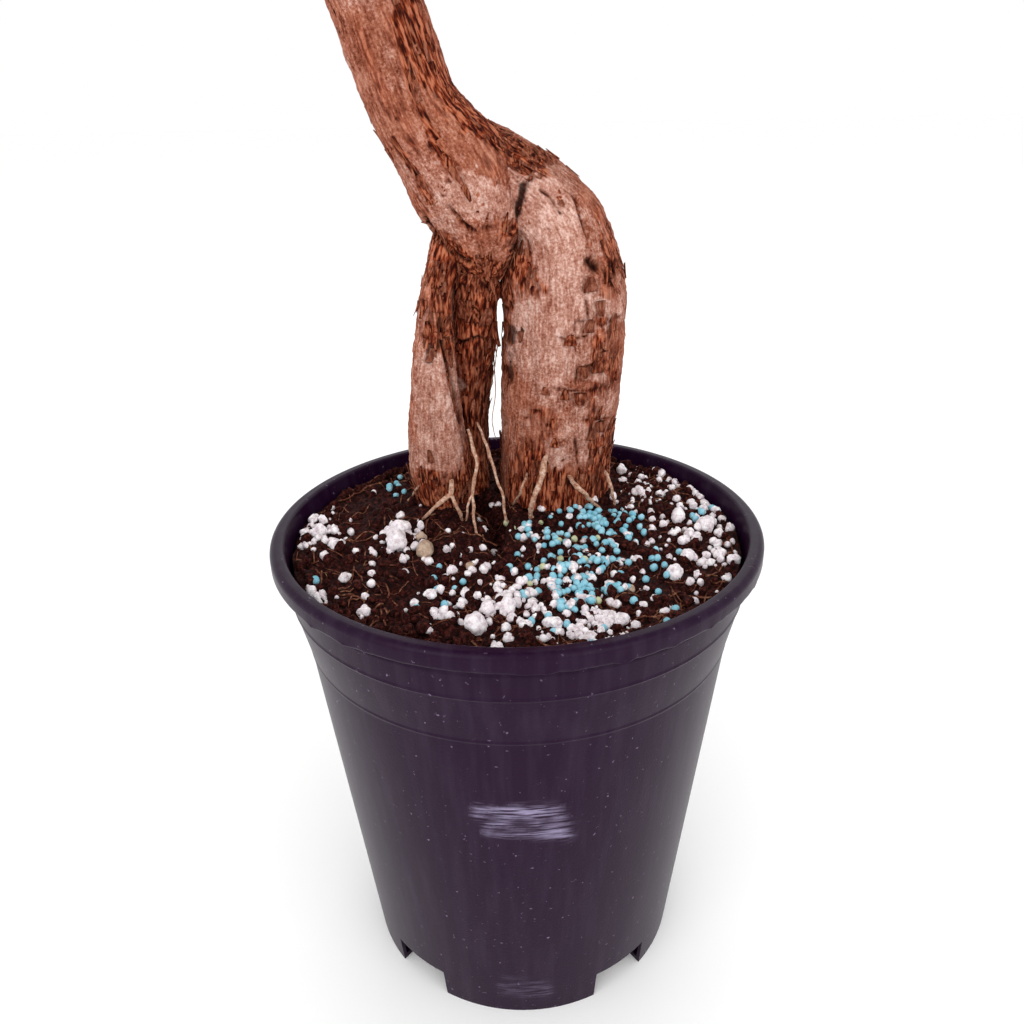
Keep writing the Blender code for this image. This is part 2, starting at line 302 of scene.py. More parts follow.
def barkMaterial(name):
    # colour = skin, then silver and rust where mask + stipple - 0.45 is high, then the furrow colour by its
    # own mask, which holds the dark of furrows and cracks and painted shade
    made, tree, shader = newMaterial(name, barkLook["skin"][1], barkLook["roughness"], barkLook["specular"])
    place = addNode(tree, "TexCoord").outputs["Object"]
    grain = addNode(tree, "Attribute", {"attribute_name": "grain"}).outputs["Vector"]
    drawn = addNode(tree, "Mapping", {"Scale": (1, 1, 0.2)}, {"Vector": grain})
    fibres = addNode(tree, "TexNoise", {"Scale": perMetre(barkLook["fibreMm"]), "Detail": 5},
                     {"Vector": drawn})
    stipple = addNode(tree, "TexNoise", {"Scale": perMetre(barkLook["stippleMm"]), "Detail": 6,
                                         "Roughness": 0.7}, {"Vector": place})
    blotch = addNode(tree, "TexNoise", {"Scale": perMetre(barkLook["blotchMm"]), "Detail": 6,
                                        "Roughness": 0.65}, {"Vector": place})
    spotted = addNode(tree, "Mix", {0: 0.4}, {2: stipple, 3: blotch})
    mixed = addNode(tree, "Mix", {0: 0.3}, {2: spotted, 3: fibres})
    layers = {}
    for key, source in (("skin", mixed), ("silver", mixed), ("rust", fibres)):
        stops = list(zip((0.4, 0.5, 0.6), map(linear, barkLook[key])))
        layers[key] = addNode(tree, "ValToRGB", {"stops": stops}, {"Fac": source})
    colour = layers["skin"]
    for key in ("silver", "rust"):
        mask = addNode(tree, "Attribute", {"attribute_name": key}).outputs["Fac"]
        edge = addNode(tree, "Math", {"operation": "MULTIPLY_ADD", 1: 0.9, 2: -0.45}, {0: stipple})
        ragged = addNode(tree, "Math", {"operation": "ADD"}, {0: mask, 1: edge})
        share = addNode(tree, "MapRange", {"From Min": 0.2, "From Max": 0.8}, {"Value": ragged})
        colour = addNode(tree, "Mix", {"data_type": "RGBA"}, {0: share, 6: colour, 7: layers[key]})
    # the furrow mask: dark furrow and crack bottoms, partly painted shade, and painted shade patches in the
    # crease and on the shaded back leg
    furrowDarkAndShade = addNode(tree, "Attribute", {"attribute_name": "furrow"}).outputs["Fac"]
    final = addNode(tree, "Mix", {"data_type": "RGBA", 7: linear(barkLook["furrow"])}, {0: furrowDarkAndShade, 6: colour})
    height = addNode(tree, "Mix", {0: 0.55}, {2: fibres, 3: stipple})
    bump = addNode(tree, "Bump", {"Strength": 0.8, "Distance": 0.6 * mm}, {"Height": height})
    linkNode(tree, shader, {"Base Color": final, "Normal": bump})
    return made


# grainy matter: tones from deep to light, grain in mm, roughness, bump in mm; the note says what is seen
grainLooks = {
    "peat_and_coir_crumbled": (("#080000", "#240503", "#4e2019"), 1.3, 0.95, 0.5),  # damp, nearly black, matt
    "peat_crumbs": (("#0e0000", "#2e0a07", "#5a2a22"), 1.0, 0.95, 0.4),  # a little browner where they dry
    "coir_threads": (("#3c160e", "#6b3d2c", "#9c7159"), 1.5, 0.9, 0.1),  # husk combed loose: rusty, dry
    "expanded_perlite_popped": (("#c4b6ba", "#efe5ea", "#ffffff"), 1.6, 0.9, 0.4),  # chalk white and pitted
    "resin_coated_feed_prill_blue": (("#6fb4c8", "#a3d3e2"), 3.0, 0.35, 0.05),  # smooth with a soft shine
    "resin_coated_feed_prill_cream": (("#a9ac86", "#c9cba6"), 3.0, 0.35, 0.05),  # the same in dull cream
    "river_gravel_worn": (("#8a6f5e", "#b39a86", "#c9b5a3"), 2.2, 0.7, 0.2),  # tan, tumbled nearly smooth
    "thin_root_skin_dry": (("#8a5a45", "#b88d76", "#dabfac"), 1.2, 0.85, 0.2),  # pale, papery, wrinkled
    "young_green_brown_stem": (("#5b5a33", "#7a6c45", "#8f7c58"), 3.0, 0.7, 0.15),  # still green, part barked
}


def grainyMaterial(name):
    # one noise in grains of the real size picks the tone and, as height, roughens the face
    colours, grainMm, roughness, bumpMm = grainLooks[name]
    made, tree, shader = newMaterial(name, colours[0], roughness, 0.15)
    place = addNode(tree, "TexCoord").outputs["Object"]
    noise = addNode(tree, "TexNoise", {"Scale": perMetre(grainMm), "Detail": 5, "Roughness": 0.65},
                    {"Vector": place})
    stops = list(zip(np.linspace(0.36, 0.66, len(colours)).tolist(), map(linear, colours)))
    tones = addNode(tree, "ValToRGB", {"stops": stops}, {"Fac": noise})
    bump = addNode(tree, "Bump", {"Strength": 0.7, "Distance": bumpMm * mm}, {"Height": noise})
    linkNode(tree, shader, {"Base Color": tones, "Normal": bump})
    return made


# pot sizes in millimetres, notch angles in degrees, scuffs as paths in pixels with a half width in pixels
pot = {
    "height": 170.0, "rim": 82.5, "band": 6.0, "lip": 77.7, "wall": 1.4, "floor": 2.0, "sides": 288,
    "foot": 59.5, "shoulderLow": 133.6, "shoulder": 73.3, "collarLow": 151.4, "collar": 77.1,
    "collarTop": 78.4, "edgeRise": 0.28, "edgeHalf": 0.35, "grooves": (162.9, 160.6), "grooveDepth": 0.35,
    "grooveHalf": 0.55, "rimRound": 2.2, "rimFold": 1.2, "flash": 1.2, "flashWidth": 7.0, "axisGap": 0.4,
    "notches": 5, "notchMiddle": -2.0, "notchSpread": 76.0, "notchWidth": 22.6, "notchHeight": 12.4,
    "notchInner": 47.0, "scuffHalf": 11.0,
    "scuffs": [((478, 812), (560, 815)), ((490, 828), (568, 831)), ((505, 986), (545, 990))],
}


def potRadius(z):
    # straight tapers between the foot, shoulder, collar and rim, a raised line at two edges and two grooves
    heights = (0.0, pot["shoulderLow"], pot["collarLow"], pot["height"] - pot["band"])
    radius = np.interp(z, heights, (pot["foot"], pot["shoulder"], pot["collar"], pot["collarTop"]))
    for edge in heights[1:3]:
        radius = radius + pot["edgeRise"] * bell((z - edge) / pot["edgeHalf"])
    for groove in pot["grooves"]:
        radius = radius - pot["grooveDepth"] * bell((z - groove) / pot["grooveHalf"])
    return radius


def arcPoints(radius, z, reach, start, end, count):
    # points of an arc in the profile: middle + reach * (cos a, sin a), from one angle to the other
    turn = np.radians(np.linspace(start, end, count))
    return np.stack([radius + reach * np.cos(turn), z + reach * np.sin(turn)], axis=-1)


def makePot():
    # one closed profile of foot, outside, rim, inside and floor is turned, and notches are cut from it
    top, under, gap = pot["height"], pot["height"] - pot["band"], pot["axisGap"]
    rise = np.concatenate([np.linspace(0.0, 130.0, 60), np.linspace(130.5, 155.0, 60),
                           np.linspace(155.3, under - 0.05, 34)])
    outside = np.stack([potRadius(rise), rise], axis=-1)
    foot = np.stack([np.linspace(gap, pot["foot"] - 0.6, 24), np.zeros(24)], axis=-1)
    fold, bend = pot["rimFold"], pot["rimRound"]
    rim = np.vstack([arcPoints(pot["rim"] - fold, under + 0.9, fold, -80, 0, 6),
                     arcPoints(pot["rim"] - bend, top - bend, bend, 0, 90, 12),
                     arcPoints(pot["lip"] + fold, top - fold, fold, 90, 180, 8)])
    sink = np.linspace(under, pot["floor"], 40)
    inside = np.stack([potRadius(sink) - pot["wall"], sink], axis=-1)
    base = np.stack([np.linspace(pot["foot"] - pot["wall"], gap, 16), np.full(16, pot["floor"])], axis=-1)
    profile = np.vstack([foot, outside, rim, inside, base[1:]])
    turned = turnProfile(profile, pot["sides"])
    # the moulding flash: a thin ragged edge that stands out from the rim's first rings, at its underside
    firstRim = len(foot) + len(outside)
    edge = turned[firstRim:firstRim + 5]
    ragged = np.maximum(layeredNoise(edge[:1] * level, pot["flashWidth"] * mm, 5), 0.0) * pot["flash"] * mm
    edge += unit(edge * level) * ragged[..., None] * np.linspace(1.0, 0.1, 5)[:, None, None]
    faces = gridFaces(len(profile), pot["sides"])
    shell = putMesh("nursery_pot", turned, faces, [potMaterial()], ["pot"])
    cutPot(shell)
    points = np.empty(len(shell.data.vertices) * 3, np.float32)
    shell.data.vertices.foreach_get("co", points)
    points = points.reshape(-1, 3).astype(float)
    pixels = toPixel(points)
    # scuffs lie along their paths on the front, are patchy, and are faint near the foot
    scuff = np.zeros(len(points))
    for path in pot["scuffs"]:
        scuff = np.maximum(scuff, smoothStep(1.15 - pathDistance(pixels, path) / pot["scuffHalf"]))
    patchy = layeredNoise(points * np.array((1.0, 1.0, 3.5)), 9 * mm, 81, 3)
    scuff *= (points[:, 1] < -20 * mm) * np.clip(0.55 + 0.7 * patchy, 0.0, 1.0)
    scuff[points[:, 2] < 40 * mm] *= 0.3
    setAttributes(shell.data, {"scuff": scuff})


def cutPot(shell):
    # five boxes stand round the foot, and their space is taken out of it
    first = pot["notchMiddle"] + pot["notchSpread"] / 2.0
    rest = (360.0 - pot["notchSpread"]) / (pot["notches"] - 1)
    reach = pot["rim"] - pot["notchInner"]
    half = np.array((pot["notchWidth"] / 2, reach / 2, pot["notchHeight"])) * mm
    signs = np.array([(x, y, z) for z in (-1, 1) for y in (-1, 1) for x in (-1, 1)])
    boxFaces = np.array([(0, 2, 3, 1), (4, 5, 7, 6), (0, 1, 5, 4), (2, 6, 7, 3), (0, 4, 6, 2), (1, 3, 7, 5)])
    points = []
    for i in range(pot["notches"]):
        angle = math.radians(first + i * rest)
        corner = signs * half - np.array((0.0, pot["notchInner"] + reach / 2, 0.0)) * mm
        points.append(corner @ np.array(Matrix.Rotation(angle, 3, "Z")).T)
    mesh = bpy.data.meshes.new("notchBoxes")
    mesh.from_pydata(np.vstack(points).tolist(), [], repeatFaces(boxFaces, pot["notches"], 8).tolist())
    boxes = bpy.data.objects.new("notchBoxes", mesh)
    bpy.context.scene.collection.objects.link(boxes)
    step = shell.modifiers.new("notches", "BOOLEAN")
    step.operation = "DIFFERENCE"
    step.solver = "EXACT"
    step.object = boxes
    view = bpy.context.evaluated_depsgraph_get()
    cutMesh = bpy.data.meshes.new_from_object(shell.evaluated_get(view))
    shell.modifiers.clear()
    shell.data = cutMesh
    shell.data.set_sharp_from_angle(angle=math.radians(40))
    bpy.data.objects.remove(boxes, do_unlink=True)


# potting mix sizes in millimetres; each noise is size, rise, seed and layers; the pit's path is in pixels
soil = {
    "top": 165.0, "edge": 75.6, "floor": 2.3, "wallGap": 0.3, "sides": 300, "rows": 170, "sunk": 1.6,
    "noise": [(7.0, 1.1, 31, 3), (3.2, 0.9, 41, 3), (1.1, 0.35, 51, 2)],
    "mound": 3.0, "moundMiddle": (2.0, 30.0), "moundReach": 45.0,
    "pit": ((478, 506), (498, 520), (494, 538)), "pitHalf": 16.0, "pitDepth": 9.0,
    "grainReach": 73.5, "threadReach": 74.5,
}


def soilHeight(points):
    # layers of noise for lumps and crumbs + a mound at the feet of the legs - the pit between them
    height = sum(layeredNoise(points * level, size * mm, seed, layers) * rise
                 for size, rise, seed, layers in soil["noise"])
    across, back = soil["moundMiddle"]
    legs = np.hypot(points[..., 0] - across * mm, points[..., 1] - back * mm)
    height = height + soil["mound"] * bell(legs / (soil["moundReach"] * mm)) - soil["sunk"]
    hole = smoothStep(1.0 - pathDistance(toPixel(points), soil["pit"]) / soil["pitHalf"])
    return (height - soil["pitDepth"] * hole) * mm


def makeSoil():
    # a turned plug: up the inside of the wall, then over the top to the middle, raised by the crumbs
    gap = pot["wall"] + soil["wallGap"]
    low = np.array([(0.4, soil["floor"]), (45.0, soil["floor"]), (potRadius(17.3) - gap, 17.3),
                    (potRadius(130.0) - gap, 130.0), (soil["edge"], 158.0)])
    rows = soil["rows"]
    over = np.stack([np.linspace(soil["edge"], 0.3, rows), np.full(rows, soil["top"])], axis=-1)
    profile = np.vstack([low, over])
    points = turnProfile(profile, soil["sides"])
    points[len(low):, :, 2] += soilHeight(points[len(low):])
    peat = grainyMaterial("peat_and_coir_crumbled")
    putMesh("potting_mix", points, gridFaces(len(profile), soil["sides"]), [peat], ["soil"])


def settle(points, reachMm):
    # what is further out than the reach is drawn in to it, and the height becomes the soil's own there
    reach = np.hypot(points[..., 0], points[..., 1])[..., None]
    points[..., :2] *= np.minimum(1.0, reachMm * mm / np.maximum(reach, 1e-6))
    points[..., 2] = soil["top"] * mm + soilHeight(points)


def onSoil(pixels):
    # each pixel's line of sight down to the level of the soil, then settled on it
    places = np.array([fromPixel(u, v, 2, soil["top"] * mm) for u, v in pixels])
    settle(places, soil["grainReach"])
    return places


def sphereShape(rows, sides):
    # rings from pole to pole: sin p * cos a, sin p * sin a, -cos p
    polar = np.linspace(0.06, math.pi - 0.06, rows)[:, None]
    turn = roundAngles(sides)[None]
    ball = np.stack([np.sin(polar) * np.cos(turn), np.sin(polar) * np.sin(turn),
                     -np.cos(polar) * np.ones_like(turn)], axis=-1).reshape(-1, 3)
    return ball, gridFaces(rows, sides)


def makeGrains(name, places, sizes, material, rng, uneven, rows=7, sides=9, sink=0.25):
    # each grain is the ball, stretched at random, pushed in and out by noise and set into the soil
    ball, faces = sphereShape(rows, sides)
    count = len(places)
    stretch = 1.0 + uneven * rng.uniform(-0.7, 0.7, (count, 1, 3))
    turn = rng.uniform(0.0, 2.0 * math.pi, (count, 1))
    local = ball[None] * stretch
    bumps = 1.0 + uneven * layeredNoise(local + np.arange(count)[:, None, None] * 3.7, 0.9, 61, 3)
    local = local * bumps[..., None] * (sizes * mm / 2)[:, None, None]
    x, y, z = np.moveaxis(local, -1, 0)
    spun = np.stack([x * np.cos(turn) - y * np.sin(turn), x * np.sin(turn) + y * np.cos(turn), z], axis=-1)
    lift = ((0.5 - sink) * sizes * mm)[:, None, None] * upward
    points = spun + places[:, None] + lift
    putMesh(name, points, repeatFaces(faces, count, len(ball)), [material])


# places on the soil in pixels: single grains as (across, down, size), clusters as (across, down, spread
# across, spread down, count), and areas as (from, to) across and down
grains = {
    "perliteBig": [
        (397, 545, 24), (401, 530, 18), (364, 611, 14), (476, 626, 22), (487, 613, 16), (507, 610, 15),
        (447, 611, 14), (497, 645, 13), (678, 519, 17), (706, 525, 17), (687, 554, 14), (675, 572, 18),
        (622, 471, 12), (639, 494, 13), (663, 475, 12), (741, 560, 11), (320, 530, 14), (336, 545, 12),
        (300, 520, 10), (556, 622, 12), (590, 633, 14), (621, 618, 12), (430, 596, 10), (345, 575, 10)],
    "perliteClusters": [
        (320, 530, 25, 14, 60), (402, 538, 18, 18, 40), (322, 595, 22, 6, 26), (590, 622, 56, 22, 90),
        (700, 528, 42, 48, 120), (500, 605, 80, 34, 80), (640, 490, 30, 20, 50), (570, 580, 70, 45, 110),
        (512, 550, 190, 70, 110)],
    "bluePrills": [
        (585, 560, 66, 48, 130), (600, 522, 34, 10, 60), (575, 590, 30, 16, 36), (397, 485, 9, 10, 7),
        (702, 515, 8, 5, 5), (520, 590, 120, 26, 22)],
    "creamPrills": [
        (518, 527, 2, 2, 1), (540, 525, 2, 2, 1), (597, 541, 2, 2, 1), (612, 558, 2, 2, 1),
        (563, 560, 2, 2, 1), (560, 555, 110, 45, 12)],
    "pebbles": [(425, 553, 20), (421, 538, 12), (470, 565, 9), (630, 585, 9)],
    "pixelsPerMm": 2.85, "perliteMm": (0.8, 3.4), "prillMm": 2.3, "prillSpread": (0.85, 1.15),
    "crumbs": 900, "crumbMm": (1.0, 3.4), "crumbArea": ((290, 740), (425, 645)),
}


def clusterPixels(clusters, rng):
    # pixels scattered about each cluster's middle, with 0.6 of its spread as the standard deviation
    rows = []
    for u, v, wide, tall, count in clusters:
        rows.append(np.stack([rng.normal(u, wide * 0.6, count), rng.normal(v, tall * 0.6, count)], axis=-1))
    return np.vstack(rows)


def areaPixels(area, count, rng):
    # pixels dealt evenly over a rectangle
    return np.stack([rng.uniform(*span, count) for span in area], axis=-1)


def makeGrainSets():
    # each set: places from its table, sizes from its range or its pixels, then one joined mesh
    rng = np.random.default_rng(8)
    perlite = grainyMaterial("expanded_perlite_popped")
    big = np.array(grains["perliteBig"], float)
    sizes = big[:, 2] / grains["pixelsPerMm"]
    makeGrains("perlite_large", onSoil(big[:, :2]), sizes, perlite, rng, 0.3, 14, 18)
    small = clusterPixels(grains["perliteClusters"], rng)
    sizes = rng.uniform(*grains["perliteMm"], len(small))
    makeGrains("perlite_small", onSoil(small), sizes, perlite, rng, 0.28)
    for tint in ("blue", "cream"):
        prill = grainyMaterial("resin_coated_feed_prill_" + tint)
        spots = clusterPixels(grains[tint + "Prills"], rng)
        sizes = grains["prillMm"] * rng.uniform(*grains["prillSpread"], len(spots))
        makeGrains("feed_prills_" + tint, onSoil(spots), sizes, prill, rng, 0.12, 7, 10, 0.1)
    pebbles = np.array(grains["pebbles"], float)
    gravel = grainyMaterial("river_gravel_worn")
    sizes = pebbles[:, 2] / grains["pixelsPerMm"]
    makeGrains("pebbles", onSoil(pebbles[:, :2]), sizes, gravel, rng, 0.2, 12, 16)
    crumbs = areaPixels(grains["crumbArea"], grains["crumbs"], rng)
    sizes = rng.uniform(*grains["crumbMm"], len(crumbs))
    makeGrains("soil_crumbs", onSoil(crumbs), sizes, grainyMaterial("peat_crumbs"), rng, 0.5)
    makeThreads(rng)


# loose coir threads: lengths and half widths in millimetres, and their area in pixels
threads = {"count": 420, "area": ((295, 735), (430, 640)), "length": (4.0, 15.0), "half": (0.12, 0.32),
           "bend": 0.3, "above": 0.5}


def makeThreads(rng):
    # start + way * length * t + side * length * bend * t^2, then settled on the crumbs
    count = threads["count"]
    start = onSoil(areaPixels(threads["area"], count, rng))
    heading = rng.uniform(0.0, 2.0 * math.pi, count)
    way = np.stack([np.cos(heading), np.sin(heading), rng.normal(0.0, 0.12, count)], axis=-1)
    side = np.stack([-np.sin(heading), np.cos(heading), rng.normal(0.0, 0.2, count)], axis=-1)
    t = np.linspace(0.0, 1.0, 7)[None, :, None]
    length = rng.uniform(*threads["length"], count)[:, None, None] * mm
    bend = rng.normal(0, threads["bend"], (count, 1, 1))
    paths = start[:, None] + way[:, None] * length * t + side[:, None] * length * bend * t * t
    settle(paths, soil["threadReach"])
    paths[..., 2] += threads["above"] * mm
    halves = np.broadcast_to(rng.uniform(*threads["half"], (count, 1)) * mm, paths.shape[:2])
    points, faces = manyTubes(paths, halves, 5)
    putMesh("coir_threads", points, faces, [grainyMaterial("coir_threads")])


# limbs: middle of each cross-section and its half widths, in millimetres, as on the measured solids
limbs = {
    "trunk": [
        (-7.9, 23, 246.5, 2.6, 2.6), (-9.2, 23.2, 251.5, 6.4, 6.2), (-10.6, 24, 260.5, 12.2, 11.4),
        (-12, 25, 269.5, 16.4, 14.4), (-16.4, 25, 279.8, 17.6, 15.4), (-23.2, 24, 290, 15.4, 14.8),
        (-29.8, 21, 301.5, 13.9, 13.8), (-37.6, 16, 326.3, 13.2, 13.1), (-45.5, 11.5, 352, 12.9, 12.6),
        (-50.5, 6.5, 384, 12.3, 12), (-50, 2.5, 414, 11.9, 11.7), (-46.5, 0.5, 440, 11.8, 11.8),
        (-45, 0, 452, 8.6, 8.6)],
    "root_leg_right": [
        (15, 32, 165.3, 19.8, 17.6), (15.7, 32, 186.2, 19.8, 17.4), (17.2, 31, 205.6, 20.4, 17.8),
        (18.2, 31, 229, 20.7, 18.2), (18.3, 30.3, 246, 19.9, 17.6), (16.6, 29, 261, 15.6, 15.6),
        (9.8, 28, 271.6, 12.3, 13.4), (-2, 27, 281.5, 9.5, 11), (-10.5, 26, 288, 7.5, 9)],
    "root_leg_left_front": [
        (-25.6, 27, 165.3, 9, 9), (-26.6, 26.5, 173, 10.6, 10.4), (-27.1, 25.8, 184, 10.9, 10.8),
        (-27.4, 24.5, 198, 9.6, 9.6), (-26.9, 22.2, 218, 7.6, 7.8), (-24.9, 21.2, 242, 5.4, 6.2),
        (-20.5, 23.5, 261, 4.4, 5.4)],
    "root_leg_left_back": [
        (-16.5, 38.5, 165.3, 7, 8), (-16.9, 38, 182, 7, 8.2), (-16.6, 36.2, 202, 7.4, 8.8),
        (-14.2, 32.8, 222, 7.8, 9.2), (-12.8, 29.6, 240, 7.6, 8.6), (-11.6, 26.4, 252.5, 4.8, 5.4)],
}

# how each limb is covered: sides, steps between stations, level start, rust share, silver share,
# roughness in millimetres, seed and number of loose strips
barkPlans = {
    "trunk": (200, 36, False, 0.10, 0.15, 0.75, 3, 90),
    "root_leg_right": (300, 40, True, 0.12, 0.35, 0.95, 7, 260),
    "root_leg_left_front": (160, 44, True, 0.2, 0.35, 0.9, 13, 170),
    "root_leg_left_back": (150, 50, True, 0.75, 0.0, 0.85, 19, 170),
}

# widths of the bark's furrows, lumps and blotches, and the rusty foot's height and fade, in millimetres
relief = {"furrow": 3.4, "lump": 8.0, "fine": 1.2, "blotch": 14.0, "silver": 11.0, "footTop": 190.0,
          "footFade": 22.0}

# cracks seen on the bark, the first being the crease between the legs: (path in pixels, half width in pixels,
# depth in millimetres); the depth also sets how dark each is painted, partly as painted shade
cracks = [
    (((531, 178), (525, 184), (516, 216), (507, 255), (500, 268), (499, 298)), 3, 1),
    (((449, 207), (462, 222), (475, 231)), 2, 1.3),
    (((425, 218), (436, 235), (452, 252), (470, 262)), 2.2, 1.5),
    (((395, 15), (398, 45), (410, 65), (412, 90), (424, 115), (436, 130), (441, 150), (455, 168), (468, 195)),
     1.6, 0.6),
    (((393, 139), (402, 158), (416, 176), (432, 201)), 1.6, 0.6),
    (((540, 190), (550, 197), (560, 213)), 1.8, 0.9),
    (((572, 193), (577, 205), (585, 232), (589, 240)), 1.8, 0.9),
    (((555, 389), (580, 392), (610, 388)), 1.5, 0.8), (((583, 421), (612, 418)), 1.4, 0.7),
    (((532, 411), (539, 411)), 1.6, 0.7), (((522, 418), (528, 418)), 1.5, 0.6),
    (((545, 425), (551, 425)), 1.5, 0.6), (((590, 262), (596, 268)), 5, 2.6),
    (((608, 212), (611, 226)), 3, 1.4), (((507, 322), (510, 343)), 3, 0.9),
    (((506, 367), (510, 381)), 3.2, 0.9), (((438, 289), (440, 308)), 3.2, 2),
    (((428, 361), (440, 343)), 4, 2), (((393, 130), (397, 130)), 1.8, 0.5),
    (((395, 119), (399, 119)), 1.6, 0.5), (((389, 149), (393, 149)), 1.6, 0.5),
    (((447, 182), (451, 182)), 1.6, 0.5), (((441, 196), (445, 196)), 1.6, 0.5),
    (((498, 183), (502, 183)), 1.6, 0.5), (((484, 228), (490, 228)), 2.6, 1.2),
    (((487, 225), (487, 232)), 1.6, 0.9), (((441, 320), (445, 350), (453, 388), (462, 422)), 3, 2),
    (((446, 338), (462, 342), (478, 337), (496, 342)), 2, 1.4),
    (((586, 300), (589, 322), (604, 327), (621, 316)), 1.5, 0.9),
    (((574, 331), (576, 322), (586, 322)), 1.6, 0.9),
    (((575, 383), (578, 370), (600, 362), (604, 344)), 1.5, 0.9),
    (((463, 273), (472, 280), (484, 281)), 1.8, 1), (((611, 262), (616, 268), (612, 284)), 3, 1.6),
    (((560, 338), (566, 340), (590, 336)), 1.6, 0.8), (((530, 440), (536, 470)), 1.6, 0.9),
    (((575, 440), (580, 478)), 1.6, 0.9),
]

# places where the limbs press together: (path in pixels, half width in pixels, rise in millimetres)
bulges = [
    (((514, 226), (508, 250), (502, 272), (500, 290)), 11, 3), (((457, 262), (461, 282)), 8, 1.6),
]

# patches of another skin, rust and silver, and patches of painted shade on the back leg's shaded lower part,
# in small hollows and along the crease between the legs: (path in pixels, half width in pixels, strength)
patches = {
    "rust": [
        (((400, 0), (430, 70), (480, 125), (525, 160)), 13, 1), (((500, 140), (545, 168)), 14, 0.9),
        (((512, 232), (540, 286)), 17, 0.9), (((606, 320), (606, 400), (600, 480)), 15, 0.5),
        (((455, 262), (485, 280)), 20, 0.8), (((520, 505), (610, 497)), 22, 0.8),
        (((447, 285), (440, 350)), 14, 0.8), (((446, 480), (446, 505)), 20, 1),
        (((484, 270), (482, 480)), 17, 1), (((395, 15), (412, 90), (441, 150), (468, 195)), 4, 1),
        (((393, 139), (432, 201)), 4, 0.9), (((440, 235), (470, 262)), 8, 0.8)],
    "silver": [
        (((530, 200), (560, 232), (566, 300)), 32, 1), (((548, 330), (548, 385)), 24, 0.6),
        (((588, 300), (618, 312)), 9, 1), (((581, 322), (581, 330)), 6, 1),
        (((576, 370), (598, 376)), 8, 0.9), (((434, 366), (432, 455)), 14, 1),
        (((452, 390), (452, 470)), 11, 0.8), (((552, 446), (552, 460)), 7, 1),
        (((470, 190), (512, 208)), 14, 0.7)],
    # painted shade: the back leg's shaded lower part, three small hollows and the crease between the legs
    "shade": [
        (((484, 356), (482, 400), (478, 440)), 13, 0.5), (((509, 328), (510, 340)), 4, 0.8),
        (((509, 370), (510, 378)), 4, 0.8), (((430, 352), (438, 346)), 4, 0.8),
        (((523, 186), (516, 216), (507, 255), (500, 268), (499, 298)), 3, 0.95)],
}


def smoothStations(stations, steps):
    # a Catmull-Rom curve through the stations, so place and half widths change together
    known = np.array(stations) * mm
    ends = np.vstack([2 * known[0] - known[1], known, 2 * known[-1] - known[-2]])
    t = np.linspace(0.0, 1.0, steps, endpoint=False)[:, None]
    rows = []
    for a, b, c, d in zip(ends[:-3], ends[1:-2], ends[2:-1], ends[3:]):
        rows.append(0.5 * (2 * b + (c - a) * t + (2 * a - 5 * b + 4 * c - d) * t ** 2
                           + (3 * b - a - 3 * c + d) * t ** 3))
    return np.vstack(rows + [known[-1:]])


def sweepLimb(stations, sides, steps, solidSteps, levelStart):
    # ovals square to the path, turned as little as can be from ring to ring, uneven as on the solids:
    # half widths * (1 + 0.025 sin(2 a + 0.31 n) + 0.02 sin(3 a - 0.23 n)) at angle a and station n
    rows = smoothStations(stations, steps)
    middles = rows[:, :3]
    along = unit(np.gradient(middles, axis=0))
    count = np.arange(len(rows))[:, None] / steps * solidSteps
    if levelStart:
        share = smoothStep(count)
        along = unit(along * share + upward * (1.0 - share))
    across = np.empty_like(along)
    carried = np.array((1.0, 0.0, 0.0))
    for k, way in enumerate(along):
        carried = unit(carried - carried.dot(way) * way)
        across[k] = carried
    depth = np.cross(along, across)
    angles = roundAngles(sides)
    uneven = 1.0 + 0.025 * np.sin(2 * angles + 0.31 * count) + 0.02 * np.sin(3 * angles - 0.23 * count)
    wide = rows[:, 3:4] * uneven * np.cos(angles)
    deep = rows[:, 4:5] * uneven * np.sin(angles)
    points = middles[:, None] + wide[..., None] * across[:, None] + deep[..., None] * depth[:, None]
    length = np.concatenate([[0.0], np.cumsum(np.linalg.norm(np.diff(middles, axis=0), axis=1))])
    grain = np.stack([wide, deep, np.broadcast_to(length[:, None], wide.shape)], axis=-1)
    return points, grain


def gridNormals(points):
    # the cross product of the way round and the way along, pointing out
    around = np.roll(points, -1, axis=1) - np.roll(points, 1, axis=1)
    return unit(np.cross(around, np.gradient(points, axis=0)))


